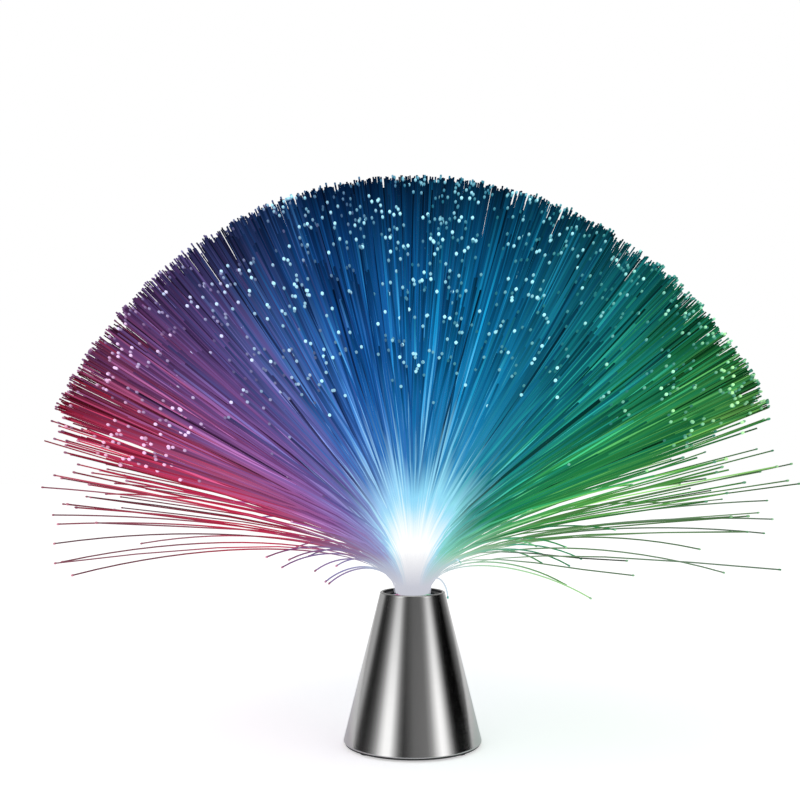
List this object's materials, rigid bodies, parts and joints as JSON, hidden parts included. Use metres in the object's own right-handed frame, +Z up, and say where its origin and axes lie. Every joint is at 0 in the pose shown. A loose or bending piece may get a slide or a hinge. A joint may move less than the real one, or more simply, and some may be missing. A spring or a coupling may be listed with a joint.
{
  "type": "fibre optic lamp",
  "caption": "Battery lamp with a steel cone base, coloured lights inside and a lift-out spray of fine light-carrying fibres.",
  "frame": {"origin": "on the table, below the middle of the lamp", "axes": "+Z up along the cone's axis, +X along the wider spread of the fibres, +Y towards the back"},
  "size_m": [0.4256, 0.3808, 0.3236],
  "materials": {
    "cone_steel": "polished, fine brushed",
    "black_plastic": "satin",
    "frame_plastic": "moulded",
    "foot_rubber": "matt",
    "screw_steel": "zinc plated",
    "cell_jacket": "printed foil",
    "contact_metal": "nickel plated",
    "knob_plastic": "moulded",
    "board_laminate": "lacquered",
    "red_lens": "clear resin, lit",
    "blue_lens": "clear resin, lit",
    "green_lens": "clear resin, lit",
    "resistor_ceramic": "matt",
    "red_insulation": "flexible",
    "black_insulation": "flexible",
    "white_insulation": "flexible",
    "pad_foam": "foam",
    "ferrule_plastic": "moulded",
    "fibre_core": "clear acrylic, lit",
    "fibre": "clear acrylic, lit"
  },
  "bodies": {
    "base": {"cone_shell": "cone_steel", "mouth_collar": "black_plastic", "inner_frame": "frame_plastic", "base_plate": "black_plastic", "rubber_feet": "foot_rubber", "plate_screws": "screw_steel", "battery_tray": "frame_plastic", "battery_left": "cell_jacket", "battery_middle": "cell_jacket", "battery_right": "cell_jacket", "contact_springs": "contact_metal", "end_contacts": "contact_metal", "link_contacts": "contact_metal", "switch_case": "contact_metal", "switch_terminals": "contact_metal", "led_board": "board_laminate", "led_red": "red_lens", "led_blue": "blue_lens", "led_green": "green_lens", "led_legs": "contact_metal", "resistors": "resistor_ceramic", "board_screws": "screw_steel", "lead_red": "red_insulation", "lead_black": "black_insulation", "lead_switch": "white_insulation"},
    "switch": {"switch_knob": "knob_plastic"},
    "battery_door": {"battery_cover": "black_plastic", "cover_pad": "pad_foam"},
    "fibre_head": {"ferrule": "ferrule_plastic", "fibre_bundle": "fibre_core", "fibre_spray": "fibre"}
  },
  "joints": [
    {"name": "switch_slide", "type": "slide", "parent": "base", "child": "switch", "axis": [0, -1, 0], "range_m": [0, 0.002]},
    {"name": "door_hinge", "type": "hinge", "parent": "base", "child": "battery_door", "pos_m": [0, -0.02655, 0.0024], "axis": [-1, 0, 0], "range_deg": [0, 85]},
    {"name": "fibre_lift", "type": "slide", "parent": "base", "child": "fibre_head", "axis": [0, 0, 1], "range_m": [0, 0.03]}
  ]
}
